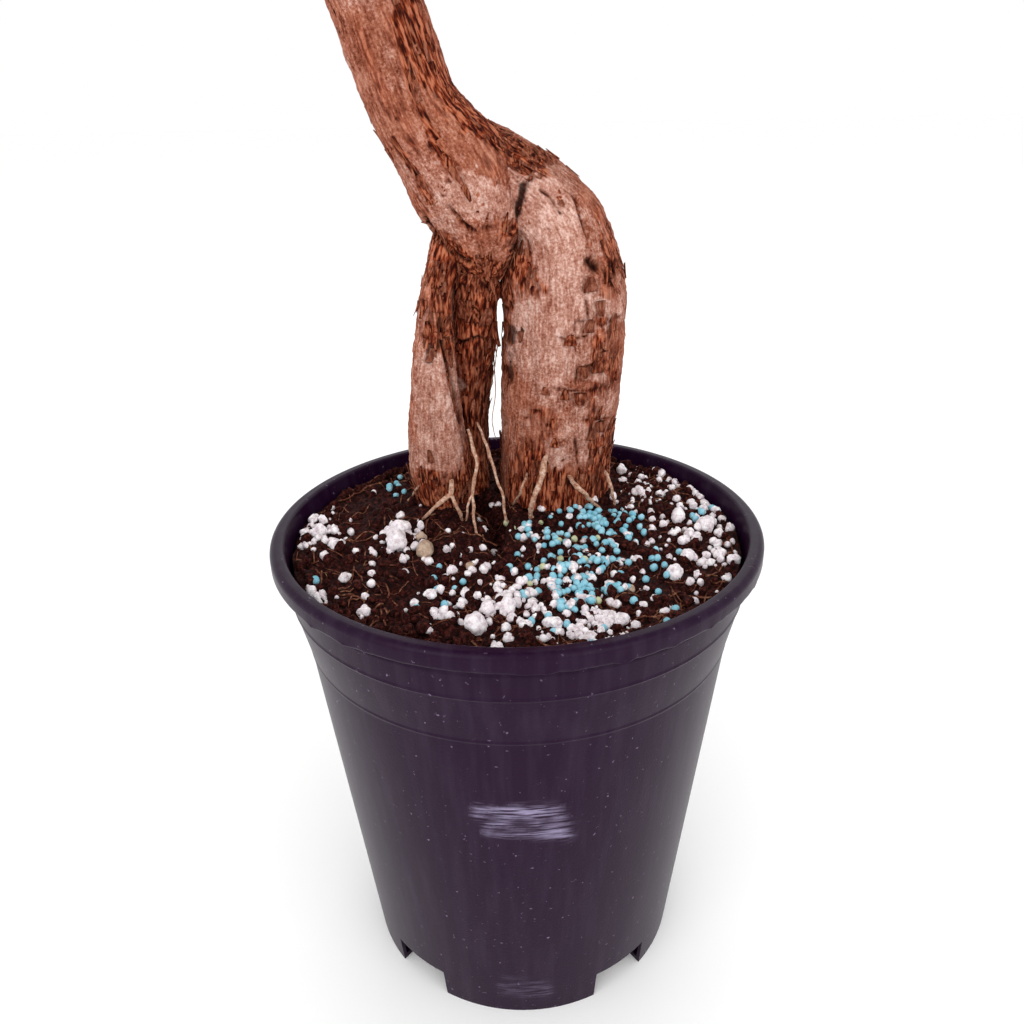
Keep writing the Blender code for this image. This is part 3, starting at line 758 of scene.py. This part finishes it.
def coverLimb(name, points, grain, material, node, rustBase, silverBase, roughMm, seed):
    # skin = solid + normal * (furrows along the grain + lumps - cracks), with masks for its colours, one of
    # which also holds painted shade in furrows, cracks and creases
    normal = gridNormals(points)
    furrows = layeredNoise(grain * np.array((1.0, 1.0, 0.13)), relief["furrow"] * mm, seed, 4)
    lumps = layeredNoise(points, relief["lump"] * mm, seed + 9, 3)
    fine = layeredNoise(points, relief["fine"] * mm, seed + 17, 2)
    pixels = toPixel(points)
    facing = smoothStep(np.sum(normal * unit(eyePoint - points), axis=-1) * 4.0)
    blotch = layeredNoise(points + 0.4, relief["blotch"] * mm, seed + 23, 4)
    wobble = 1.0 + 0.3 * fine + 0.45 * lumps + 0.5 * blotch
    shares = {kind: [strength * facing * smoothStep(1.5 - pathDistance(pixels, path) / half * wobble)
                     for path, half, strength in rows] for kind, rows in patches.items()}
    silverPatches = sum(shares["silver"])
    silver = silverBase + silverPatches
    silver = silver + 0.5 * layeredNoise(points + 0.9, relief["silver"] * mm, seed + 29, 4)
    rust = rustBase + 0.55 * blotch + 0.35 * furrows + sum(shares["rust"]) - 0.9 * silverPatches
    aboveFoot = points[..., 2] / mm - relief["footTop"] - 6.0 * lumps - 5.0 * blotch
    rust = np.clip(rust + 0.45 * smoothStep(-aboveFoot / relief["footFade"]), 0.0, 1.0)
    # furrow bottoms darker, more so where rusty: partly their own colour, partly painted shade
    deepFurrow = smoothStep((-furrows - 0.25) * 2.2) * (0.25 + 0.75 * rust)
    rise = roughMm * (0.55 * furrows * (0.3 + 0.6 * rust) + 0.45 * lumps + 0.22 * fine)
    for path, half, riseMm in bulges:
        rise = rise + riseMm * bell(pathDistance(pixels, path) / half)
    # the dark mask starts from the furrow bottoms and the painted shade patches
    furrowDarkAndShade = np.maximum.reduce([0.4 * deepFurrow] + shares["shade"])
    for path, half, depthMm in cracks:
        near = bell(pathDistance(pixels, path) * (1 + 0.25 * fine) / half) * facing
        near = near * np.clip(0.75 + 0.5 * fine + 0.3 * lumps, min(depthMm / 2.5, 1.0), 1.0)
        rise = rise - depthMm * near
        # each crack darkens with its depth: partly the crack's own dark, partly painted shade, strongest in
        # the crease between the legs
        furrowDarkAndShade = np.maximum(furrowDarkAndShade, near * min(1.0, 0.15 + depthMm / 1.7))
        rust = np.clip(rust + 0.8 * near, 0.0, 1.0)
    moved = points + normal * (rise * mm)[..., None]
    silver = np.clip(silver, 0.0, 1.0) * (1.0 - 0.7 * rust)
    masks = {"rust": rust.ravel(), "silver": silver.ravel(), "furrow": np.clip(furrowDarkAndShade, 0.0, 0.93).ravel(),
             "grain": grain.reshape(-1, 3)}
    putMesh(name, moved, gridFaces(*points.shape[:2]), [material], [node], masks)
    return moved, normal, rust, facing


# torn edges seen on the bark: (pixel across, pixel down, length in mm, half width in mm)
tornFlaps = {
    "root_leg_right": [
        (597, 372, 6, 2.2), (588, 332, 5, 2.0), (603, 352, 7, 1.8), (590, 292, 5, 2.4), (607, 283, 6, 1.2),
        (570, 345, 4, 2.2), (580, 392, 4, 2.6), (600, 421, 4, 2.4), (590, 440, 5, 1.6), (612, 330, 6, 1.6),
        (565, 400, 4, 1.5), (555, 447, 4, 1.6), (600, 300, 5, 1.8), (583, 365, 4, 2.4), (545, 395, 3, 1.6)],
    "root_leg_left_front": [
        (448, 350, 6, 1.6), (437, 312, 6, 1.8), (428, 338, 6, 1.4), (441, 288, 5, 1.6), (432, 362, 5, 2.0),
        (425, 300, 6, 1.2), (446, 330, 6, 1.6)],
    "root_leg_left_back": [
        (463, 318, 7, 1.8), (474, 322, 7, 2.0), (484, 325, 7, 2.2), (493, 322, 8, 1.8), (470, 300, 7, 1.4),
        (480, 292, 7, 1.6), (490, 300, 6, 1.4), (466, 285, 6, 1.4)],
    "trunk": [(452, 168, 5, 1.2), (437, 140, 6, 1.0), (463, 185, 5, 1.0)],
}
# loose strips: millimetres, with the curl as a share of the length, between the heights low and high
strips = {"length": (2.0, 6.5), "half": (0.3, 1.2), "curl": (0.03, 0.16), "tornCurl": (0.2, 0.38),
          "thick": 0.35, "above": 0.15, "low": 168.0, "high": 460.0, "rust": (0.3, 1.0), "furrowDarkAndShade": (0.0, 0.35)}


def nearestPicks(surface, pixels):
    # the point of the surface, among those that face the camera, that is nearest to each pixel
    moved, _, _, facing = surface
    onPhoto = toPixel(moved).reshape(-1, 2)
    hidden = 1e6 * (facing.ravel() < 0.3)
    return np.array([np.argmin(np.sum((onPhoto - spot) ** 2, axis=-1) + hidden) for spot in pixels])


def loosePicks(surface, count, rng):
    # points dealt at random over the rusty bark between the two heights
    moved, _, rust, _ = surface
    height = moved[..., 2].ravel() / mm
    return rng.choice(np.flatnonzero((rust.ravel() > 0.5) & (height > strips["low"])
                                     & (height < strips["high"])), count)


def makeFlaps(name, surface, picks, length, half, curl, rng, material):
    # base + ahead * length * t + cross * half * s + out * curl * t^2, with an underside that thins to the tip
    moved, normal, _, _ = surface
    rows, sides = moved.shape[:2]
    count = len(picks)
    row, side = picks // sides, picks % sides
    base, out = moved[row, side], normal[row, side]
    ahead = unit(moved[np.minimum(row + 3, rows - 1), side] - moved[np.maximum(row - 3, 0), side])
    ahead *= rng.choice((-1.0, 1.0), (count, 1))
    cross = np.cross(ahead, out)
    steps, wide = 6, 3
    t = np.linspace(0.0, 1.0, steps)[None, :, None, None]
    s = np.linspace(-1.0, 1.0, wide)[None, None, :, None]
    length = length[:, None, None, None] * mm
    half = half[:, None, None, None] * mm * (1.0 - 0.6 * t ** 2)
    curl = curl[:, None, None, None] * length * t ** 2
    ahead, cross, out, base = (part[:, None, None] for part in (ahead, cross, out, base))
    points = (base + ahead * length * t + cross * half * s + out * (curl + strips["above"] * mm)
              + out * half * 0.3 * s * s)
    under = points - out * strips["thick"] * mm * (1.0 - 0.6 * t)
    flat = np.concatenate([points, under[:, :, ::-1]], axis=2).reshape(-1, 3)
    each = steps * wide * 2
    masks = {"rust": np.repeat(rng.uniform(*strips["rust"], count), each), "silver": np.zeros(len(flat)),
             "furrow": np.repeat(rng.uniform(*strips["furrowDarkAndShade"], count), each), "grain": flat}
    putMesh(name, flat, repeatFaces(gridFaces(steps, wide * 2), count, each), [material], (), masks)


def makeLimbs():
    # each limb's swept surface gets its skin, then its loose strips at random and its torn edges in place
    material = barkMaterial("bottle_tree_bark_fibrous")
    rng = np.random.default_rng(21)
    for node, (sides, steps, levelStart, rust, silver, rough, seed, count) in barkPlans.items():
        points, grain = sweepLimb(limbs[node], sides, steps, 3, levelStart)
        surface = coverLimb(node + "_bark", points, grain, material, node, rust, silver, rough, seed)
        picks = loosePicks(surface, count, rng)
        length, half, curl = (rng.uniform(*strips[key], count) for key in ("length", "half", "curl"))
        makeFlaps(node + "_loose_strips", surface, picks, length, half, curl, rng, material)
        torn = np.array(tornFlaps[node], float)
        curl = rng.uniform(*strips["tornCurl"], len(torn))
        makeFlaps(node + "_torn_edges", surface, nearestPicks(surface, torn[:, :2]), torn[:, 2], torn[:, 3],
                  curl, rng, material)
        print("bark laid on", node)
    return material


# thin roots: (pixel across, pixel down, depth in mm or None on the soil) and half widths in mm
rootlets = [
    ([(547, 457, 13), (541, 478, 9), (534, 500, 6), (530, 519, None)], 1.5, 1.1),
    ([(569, 478, 14), (582, 492, 8), (600, 508, None)], 1.2, 0.7),
    ([(607, 474, 18), (611, 488, 14), (616, 505, None)], 1.0, 0.6),
    ([(477, 425, 24), (486, 446, 21), (494, 466, 17), (502, 492, 12), (508, 519, None)], 0.8, 0.6),
    ([(467, 432, 17), (476, 466, 13), (473, 493, 10), (475, 519, 6), (478, 541, None)], 0.9, 0.6),
    ([(450, 480, 15), (451.5, 494, 12), (436, 506, 9), (418, 517, None)], 1.3, 0.8),
    ([(450, 482, 15), (452, 494, 12), (457, 506, 8), (462, 519, None)], 1.1, 0.7),
    ([(473, 493, 10), (468, 506, 8), (464, 520, None)], 0.6, 0.4),
    ([(528, 476, 15), (520, 490, 11), (514, 506, None)], 0.7, 0.4),
    ([(432, 470, 22), (421, 484, 19), (408, 496, None)], 0.8, 0.5),
    ([(492, 296, 34), (497, 330, 32), (495, 362, 31), (490, 392, 33)], 0.26, 0.2),
    ([(493, 360, 34), (496, 392, 32), (493, 418, 31), (497, 440, 32)], 0.24, 0.18),
]
# in millimetres: the start's push into the bark, the end's depth in the soil and the wander to the sides
rootShape = {"points": 37, "sides": 14, "push": 3.0, "sink": 1.5, "wander": 0.7, "uneven": 0.22}


def makeRootlets():
    # a smooth curve through each root's places, its start pushed into the bark and its end under the soil
    paths, halves = [], []
    share = np.linspace(0.0, 1.0, rootShape["points"])
    for stations, startHalf, endHalf in rootlets:
        places = []
        for u, v, depth in stations:
            if depth is None:
                places.append(onSoil([(u, v)])[0] - rootShape["sink"] * mm * upward)
            else:
                places.append(fromPixel(u, v, 1, depth * mm))
        curve = smoothStations(np.array(places) / mm, 12)
        spread = np.linspace(0.0, 1.0, len(curve))
        curve[:, 1] += rootShape["push"] * mm * bell(spread / 0.12)
        paths.append(np.stack([np.interp(share, spread, curve[:, axis]) for axis in range(3)], axis=-1))
        half = startHalf + (endHalf - startHalf) * share
        halves.append(half * (0.78 - 0.3 * np.exp(-share / 0.08)) * mm)
    paths, halves = np.array(paths), np.array(halves)
    halves = halves * (1.0 + rootShape["uneven"] * layeredNoise(paths, 3.0 * mm, 71, 2))
    paths[..., 0] += rootShape["wander"] * mm * layeredNoise(paths, 6.0 * mm, 73, 2)
    points, faces = manyTubes(paths, halves, rootShape["sides"])
    putMesh("thin_roots", points, faces, [grainyMaterial("thin_root_skin_dry")])


# the masses of leaves of the measured solids: middle, half widths, and the bough's height on the trunk and
# its half widths at start and end, all in millimetres
masses = {
    "top": ((-34, 4, 652), (80, 76, 68), (446, 7.8, 4)),
    "left": ((-122, -16, 554), (72, 74, 60), (430, 6, 3.4)),
    "right": ((56, -8, 586), (76, 74, 62), (437, 6.4, 3.6)),
    "front": ((-40, -100, 560), (74, 66, 56), (419, 5.8, 3.2)),
    "back": ((-28, 104, 576), (78, 66, 60), (424, 6.2, 3.4)),
}
# how a bough leaves the trunk and meets its mass, in millimetres: (x, y, z) for the top one, else (out, up)
boughWays = {"top": ((-26, 6, 150), (40, 10, 150)), "side": ((105, 60), (30, 150))}
# lengths and half widths in millimetres; reaches are shares of the mass's own half widths, and droop and
# the outline's places and half widths are shares of a leaf's, with a short narrow stalk first
crown = {
    "branches": 15, "branchHalf": (2.1, 1.0), "branchReach": (0.50, 0.66), "branchPoints": 14,
    "twigsPerBranch": 7, "twigHalf": (1.0, 0.45), "twigLength": (18.0, 36.0), "twigReach": 0.80,
    "twigPoints": 9,
    "leavesPerTwig": 9, "leafLength": (44.0, 84.0), "leafHalf": (2.6, 4.6), "leafTurn": 137.5,
    "leafForward": (0.4, 1.1), "leafDroop": (0.12, 0.5), "leafFold": 0.35,
    "outline": ((0.0, 0.10), (0.1, 0.12), (0.22, 0.72), (0.42, 1.0), (0.62, 0.86), (0.82, 0.46), (1.0, 0.03)),
    "greens": ("#3f6b24", "#527f2b", "#6a9436", "#345c22", "#7fa441", "#8a9a4a"),
}


def hermitePaths(start, end, startWay, endWay, count):
    # cubic curves between two points that leave and arrive in the given directions
    t = np.linspace(0.0, 1.0, count)[None, :, None]
    return ((2 * t ** 3 - 3 * t ** 2 + 1) * start[:, None] + (t ** 3 - 2 * t ** 2 + t) * startWay[:, None]
            + (3 * t ** 2 - 2 * t ** 3) * end[:, None] + (t ** 3 - t ** 2) * endWay[:, None])


def boughStations(name):
    # from the trunk's middle at the bough's height, out to the side or up, to the middle of the mass
    goal, _, (height, startHalf, endHalf) = masses[name]
    rows = smoothStations(limbs["trunk"], 8)
    start = np.array([np.interp(height * mm, rows[:, 2], rows[:, axis]) for axis in range(3)]) / mm
    goal = np.array(goal)
    if name == "top":
        startWay, endWay = (np.array(way) for way in boughWays["top"])
    else:
        side = unit((goal - start) * level)
        startWay, endWay = (side * out + upward * up for out, up in boughWays["side"])
    path = hermitePaths(start[None], goal[None], startWay[None], endWay[None], 6)[0]
    half = np.linspace(startHalf, endHalf, 6)
    return np.column_stack([path, half, half])


def spreadWays(count, rng):
    # even directions over a ball by the golden angle, each a little astray
    k = np.arange(count) + 0.5
    z = 1.0 - 2.0 * k / count
    turn = k * math.pi * (3.0 - math.sqrt(5.0))
    flat = np.sqrt(1.0 - z * z)
    even = np.stack([flat * np.cos(turn), flat * np.sin(turn), z], axis=-1)
    return unit(even + rng.normal(0.0, 0.13, (count, 3)))


def growMass(name, greens, twigBark, seed):
    # the bough goes on inside its mass, forks into branches, and these into twigs that carry the leaves
    middle, widths, _ = masses[name]
    middle, widths = np.array(middle) * mm, np.array(widths) * mm
    rng = np.random.default_rng(seed)
    path = smoothStations(boughStations(name), 12)[:, :3]
    forks = crown["branches"]
    ways = spreadWays(forks, rng)
    fromShare = 0.66 + 0.34 * np.clip(ways[:, 2] * 0.5 + 0.5, 0.0, 1.0)
    start = path[(fromShare * (len(path) - 1)).astype(int)]
    ends = middle + ways * widths * rng.uniform(*crown["branchReach"], (forks, 1))
    span = np.linalg.norm(ends - start, axis=-1, keepdims=True)
    out, rise = ways * span, upward * span
    steps = crown["branchPoints"]
    branches = hermitePaths(start, ends, 0.5 * out + 0.5 * rise, 0.8 * out + 0.35 * rise, steps)
    branchHalf = np.tile(np.linspace(*crown["branchHalf"], steps) * mm, (forks, 1))

    perBranch = crown["twigsPerBranch"]
    owner = np.repeat(np.arange(forks), perBranch)
    place = np.tile(np.linspace(5, steps - 1, perBranch).astype(int), forks)
    twigStart = branches[owner, place]
    wayOut = unit(ways[owner] + rng.normal(0.0, 0.75, (len(owner), 3)) + 0.1 * upward)
    twigEnd = twigStart + wayOut * rng.uniform(*crown["twigLength"], (len(owner), 1)) * mm
    fit = np.linalg.norm((twigEnd - middle) / widths, axis=-1, keepdims=True)
    twigEnd = middle + (twigEnd - middle) * np.minimum(1.0, crown["twigReach"] / fit)
    twigRun = twigEnd - twigStart
    steps = crown["twigPoints"]
    twigs = hermitePaths(twigStart, twigEnd, twigRun, twigRun * 0.8 + 6.0 * mm * upward, steps)
    twigHalf = np.tile(np.linspace(*crown["twigHalf"], steps) * mm, (len(owner), 1))

    for kind, *tubes in (("branches_", branches, branchHalf, 8), ("twigs_", twigs, twigHalf, 6)):
        points, faces = manyTubes(*tubes)
        putMesh(kind + name, points, faces, [twigBark])
    growLeaves(name, twigs, middle, widths, greens, rng)


def growLeaves(name, twigs, middle, widths, greens, rng):
    # blade = base + way * length * t - droop * t^2, with half width from the outline and a folded midrib
    each = crown["leavesPerTwig"]
    owner = np.repeat(np.arange(len(twigs)), each)
    count = len(owner)
    last = crown["twigPoints"] - 1
    spot = np.tile(np.linspace(2, last, each).astype(int), len(twigs))
    base = twigs[owner, spot]
    along = unit(twigs[owner, np.minimum(spot + 1, last)] - twigs[owner, spot - 1])
    turn = np.tile(np.arange(each) * math.radians(crown["leafTurn"]), len(twigs))
    turn = turn + rng.uniform(0, 6.28, len(twigs))[owner]
    across, over = squareWays(along, along)
    radial = across * np.cos(turn)[:, None] + over * np.sin(turn)[:, None]
    way = unit(radial + along * rng.uniform(*crown["leafForward"], (count, 1)))
    length = rng.uniform(*crown["leafLength"], count) * mm
    fit = np.linalg.norm((base + way * length[:, None] - middle) / widths, axis=-1)
    length = length * np.clip((1.0 / fit) ** 2, 0.4, 1.0)
    half = rng.uniform(*crown["leafHalf"], count) * mm
    droop = rng.uniform(*crown["leafDroop"], count) * length
    side = unit(np.cross(way, upward + rng.normal(0.0, 0.35, (count, 3))))
    face = np.cross(side, way)
    t, outline = (np.array(row)[None, :, None, None] for row in zip(*crown["outline"]))
    s = np.array((-1.0, 0.0, 1.0))[None, None, :, None]
    length, half, droop = (part[:, None, None, None] for part in (length, half, droop))
    base, way, side, face = (part[:, None, None] for part in (base, way, side, face))
    fold = crown["leafFold"] * np.abs(s)
    points = (base + way * length * t + side * half * outline * s + face * half * outline * fold
              - upward * droop * t * t)
    rows = len(crown["outline"])
    i, j = np.meshgrid(np.arange(rows - 1), np.arange(2), indexing="ij")
    a = (i * 3 + j).ravel()
    quads = np.stack([a, a + 1, a + 4, a + 3], axis=-1)
    spray = rng.integers(0, len(greens), len(twigs))[owner]
    putMesh("leaves_" + name + "_sprays", points, repeatFaces(quads, count, rows * 3), greens,
            ["leaves_" + name], None, np.repeat(spray, len(quads)))


def leafMaterial(number, hexColour):
    # thin living leaf, waxy skin: plain green with a soft gloss, finely uneven by one noise of 2.4 mm
    made, tree, shader = newMaterial("bottle_tree_leaf_green_" + str(number), hexColour, 0.42, ior=1.42)
    place = addNode(tree, "TexCoord").outputs["Object"]
    noise = addNode(tree, "TexNoise", {"Scale": perMetre(2.381), "Detail": 3}, {"Vector": place})
    bump = addNode(tree, "Bump", {"Strength": 0.2, "Distance": 0.3 * mm}, {"Height": noise})
    linkNode(tree, shader, {"Normal": bump})
    return made


def makeCrown(bark):
    # each bough is swept and covered like a limb, and its mass is grown on from it
    greens = [leafMaterial(k, colour) for k, colour in enumerate(crown["greens"])]
    twigBark = grainyMaterial("young_green_brown_stem")
    for k, name in enumerate(masses):
        points, grain = sweepLimb(boughStations(name), 40, 24, 2, False)
        coverLimb("bough_" + name + "_bark", points, grain, bark, "bough_" + name, 0.05, 0.2, 0.35, 101 + k)
        growMass(name, greens, twigBark, 200 + k)
        print("crown grown:", name)


# soft lights aimed at the legs: place and size in metres, power in watts
lights = {
    "front_left": ((-0.7, -1.0, 0.75), 0.9, 5.5),
    "front_right": ((0.75, -0.9, 0.65), 0.9, 4.0),
    "high_back": ((0.1, 1.2, 1.1), 1.2, 3.0),
}
lightAim = (0.0, 0.0, 0.2)
floorReach = 12.0


def setUpScene():
    # a white world and floor, the photograph's camera and three soft lights turned from place to aim
    scene = bpy.context.scene
    scene.view_settings.view_transform = "Standard"
    world = bpy.data.worlds.new("white_studio")
    world.use_nodes = True
    world.node_tree.nodes["Background"].inputs["Color"].default_value = (1.0, 1.0, 1.0, 1.0)
    world.node_tree.nodes["Background"].inputs["Strength"].default_value = 1.0
    scene.world = world
    view = bpy.data.cameras.new("view")
    view.lens = camera["lens"]
    view.sensor_width = camera["sensor"]
    view.clip_start = 0.01
    holder = bpy.data.objects.new("view", view)
    turn = Matrix([eyeRight, eyeUp, -eyeAhead]).transposed()
    holder.matrix_world = Matrix.Translation(eyePoint) @ turn.to_4x4()
    scene.collection.objects.link(holder)
    scene.camera = holder
    for name, (place, size, power) in lights.items():
        lamp = bpy.data.lights.new(name, "AREA")
        lamp.size = size
        lamp.energy = power
        stand = bpy.data.objects.new(name, lamp)
        aim = Matrix.Translation(place).translation - Matrix.Translation(lightAim).translation
        stand.matrix_world = Matrix.Translation(place) @ aim.to_track_quat("Z", "Y").to_matrix().to_4x4()
        scene.collection.objects.link(stand)
    corners = [(x * floorReach, y * floorReach, 0.0) for x, y in ((-1, -1), (1, -1), (1, 1), (-1, 1))]
    mesh = bpy.data.meshes.new("studio_floor")
    mesh.from_pydata(corners, [], [(0, 1, 2, 3)])
    paper, _, _ = newMaterial("matt_white_paper", "#ffffff", 1.0)  # pressed uncoated sheet: no shine at all
    mesh.materials.append(paper)
    floor = bpy.data.objects.new("studio_floor", mesh)
    scene.collection.objects.link(floor)


setUpScene()
makePot()
print("pot turned")
makeSoil()
makeGrainSets()
print("soil and grains laid")
bark = makeLimbs()
makeRootlets()
print("thin roots laid")
makeCrown(bark)
